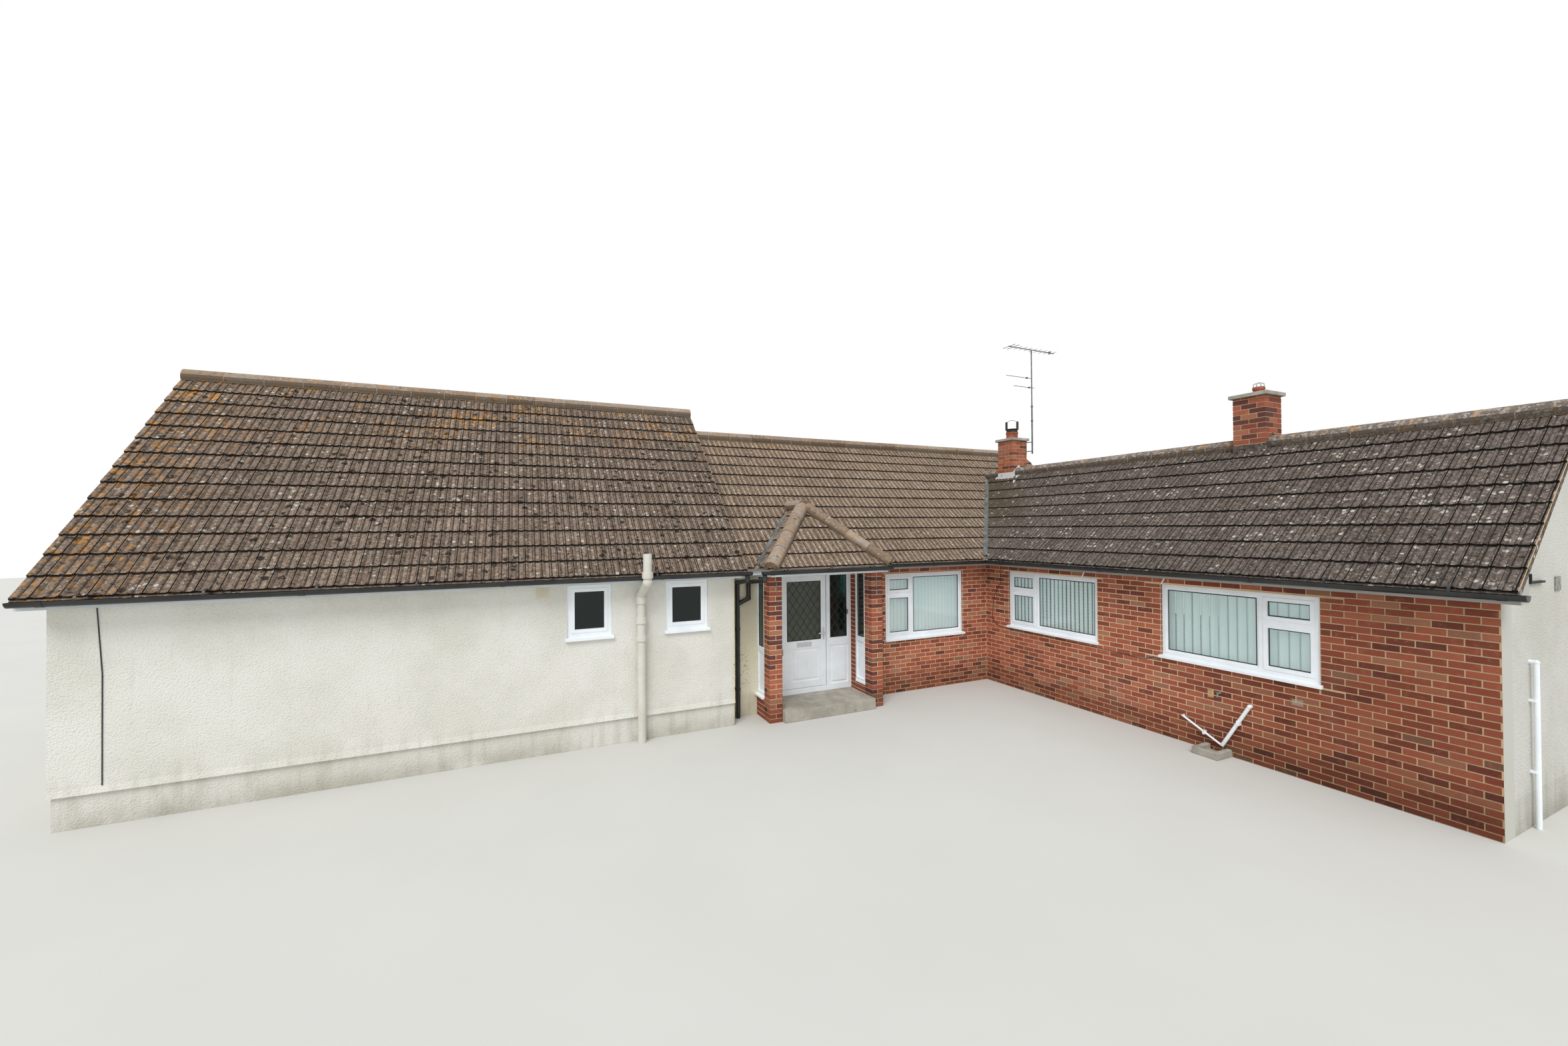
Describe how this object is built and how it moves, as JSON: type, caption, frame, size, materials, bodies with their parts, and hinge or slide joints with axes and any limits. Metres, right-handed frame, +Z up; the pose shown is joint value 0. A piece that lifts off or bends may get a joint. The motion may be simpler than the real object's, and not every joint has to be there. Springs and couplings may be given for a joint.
{
  "type": "bungalow",
  "caption": "Single-storey house on a Z-shaped plan with tiled gable roofs, a rendered wing, a brick wing and a hipped porch with a hinged front door.",
  "frame": {"origin": "inside corner of the two brick walls on the front, at the lowest ground level", "axes": "+X to the right along the front, +Y to the back, +Z up"},
  "size_m": [16.5854, 12.5904, 6.952],
  "materials": {
    "render": "roughcast render, painted cream",
    "brick": "orange-red facing brick with light mortar",
    "concrete": "concrete",
    "roof_tile": "weathered concrete roof tiles with lichen",
    "ridge_tile": "half-round clay-coloured ridge tiles",
    "white_plastic": "white window plastic",
    "black_plastic": "black rainwater plastic",
    "cream_paint": "cream paint on a soil pipe",
    "glass": "double glazing",
    "lead": "grey sheet lead",
    "terracotta": "terracotta pot",
    "steel": "weathered aluminium and steel",
    "dark_metal": "dark painted metal",
    "fabric": "vertical blinds"
  },
  "bodies": {
    "house": {"floor_slab": "concrete", "lw_front_wall": "render", "lw_west_gable": "render", "lw_back_wall": "render", "lw_east_gable": "render", "mid_front_wall": "brick", "mid_rendered_wall": "render", "door_head": "render", "mid_back_wall": "brick", "mid_east_gable": "brick", "rw_courtyard_wall": "brick", "rw_south_gable": "render", "rw_east_wall": "brick", "lw_roof_front": "roof_tile", "lw_roof_back": "roof_tile", "mid_roof_front": "roof_tile", "mid_roof_back": "roof_tile", "rw_roof_west": "roof_tile", "rw_roof_east": "roof_tile", "porch_roof": "roof_tile", "ridge_tiles": "ridge_tile", "porch_hip_tiles": "ridge_tile", "lead_work": "lead", "eaves_boards": "white_plastic", "porch_ceiling": "white_plastic", "gutters": "black_plastic", "downpipes": "black_plastic", "soil_pipe": "cream_paint", "soil_cage": "steel", "waste_pipes": "white_plastic", "gully_surround": "concrete", "porch_floor": "concrete", "porch_piers": "brick", "porch_screens": "white_plastic", "screen_base": "brick", "lw_windows": "white_plastic", "mid_window": "white_plastic", "rw_windows": "white_plastic", "back_windows": "white_plastic", "window_glass": "glass", "window_blinds": "fabric", "door_frame": "white_plastic", "frame_hinges": "steel", "chimney_stacks": "brick", "chimney_caps": "concrete", "chimney_pots": "terracotta", "chimney_cowl": "dark_metal", "chimney_cage": "steel", "aerial": "steel", "wall_fittings": "steel", "wall_cables": "black_plastic"},
    "front_door": {"front_door": "white_plastic", "door_hinges": "steel", "front_door_glass": "glass", "door_furniture": "steel"}
  },
  "joints": [
    {"name": "front_door_hinge", "type": "hinge", "parent": "house", "child": "front_door", "pos_m": [-4.334, 0.229, 0], "axis": [0, 0, 1], "range_deg": [0, 85]}
  ]
}
